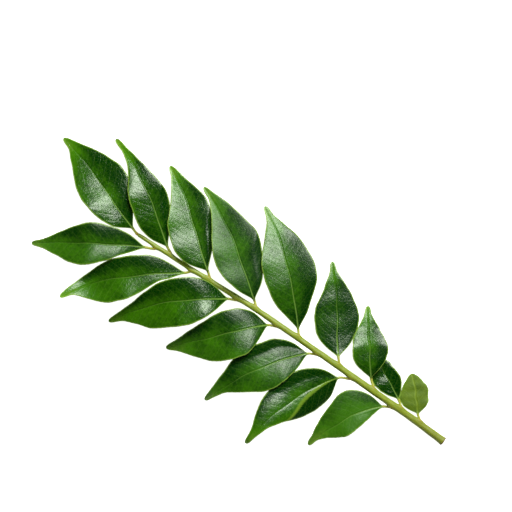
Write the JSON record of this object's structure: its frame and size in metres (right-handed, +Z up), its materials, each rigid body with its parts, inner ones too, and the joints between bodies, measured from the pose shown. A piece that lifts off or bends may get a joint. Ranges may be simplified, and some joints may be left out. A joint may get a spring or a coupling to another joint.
{
  "type": "curry leaf sprig",
  "caption": "Cut curry leaf sprig lying flat: a slim green stalk with a leaflet at its tip and glossy, pointed, arching leaflets in a row along each side.",
  "frame": {"origin": "middle of the bottom of the box round the sprig, on the surface it lies on", "axes": "+X along the stalk from its cut end to the tip, +Y to the left row of leaflets, +Z up"},
  "size_m": [0.1828, 0.0782, 0.015],
  "materials": {
    "rachis": "smooth green young stalk, satin",
    "leaflet": "glossy deep green upper side, matte paler underside",
    "pale_leaflet": "matte pale green underside turned up"
  },
  "bodies": {
    "root": {"rachis": "rachis", "terminal_leaflet": "leaflet", "left_leaflet_1": "leaflet", "left_leaflet_2": "leaflet", "left_leaflet_3": "leaflet", "left_leaflet_4": "leaflet", "left_leaflet_5": "leaflet", "left_leaflet_6": "leaflet", "left_leaflet_7": "leaflet", "right_leaflet_1": "leaflet", "right_leaflet_2": "leaflet", "right_leaflet_3": "leaflet", "right_leaflet_4": "leaflet", "right_leaflet_5": "leaflet", "right_leaflet_6": "leaflet", "right_leaflet_7": "leaflet", "right_leaflet_8": "pale_leaflet"}
  },
  "joints": []
}
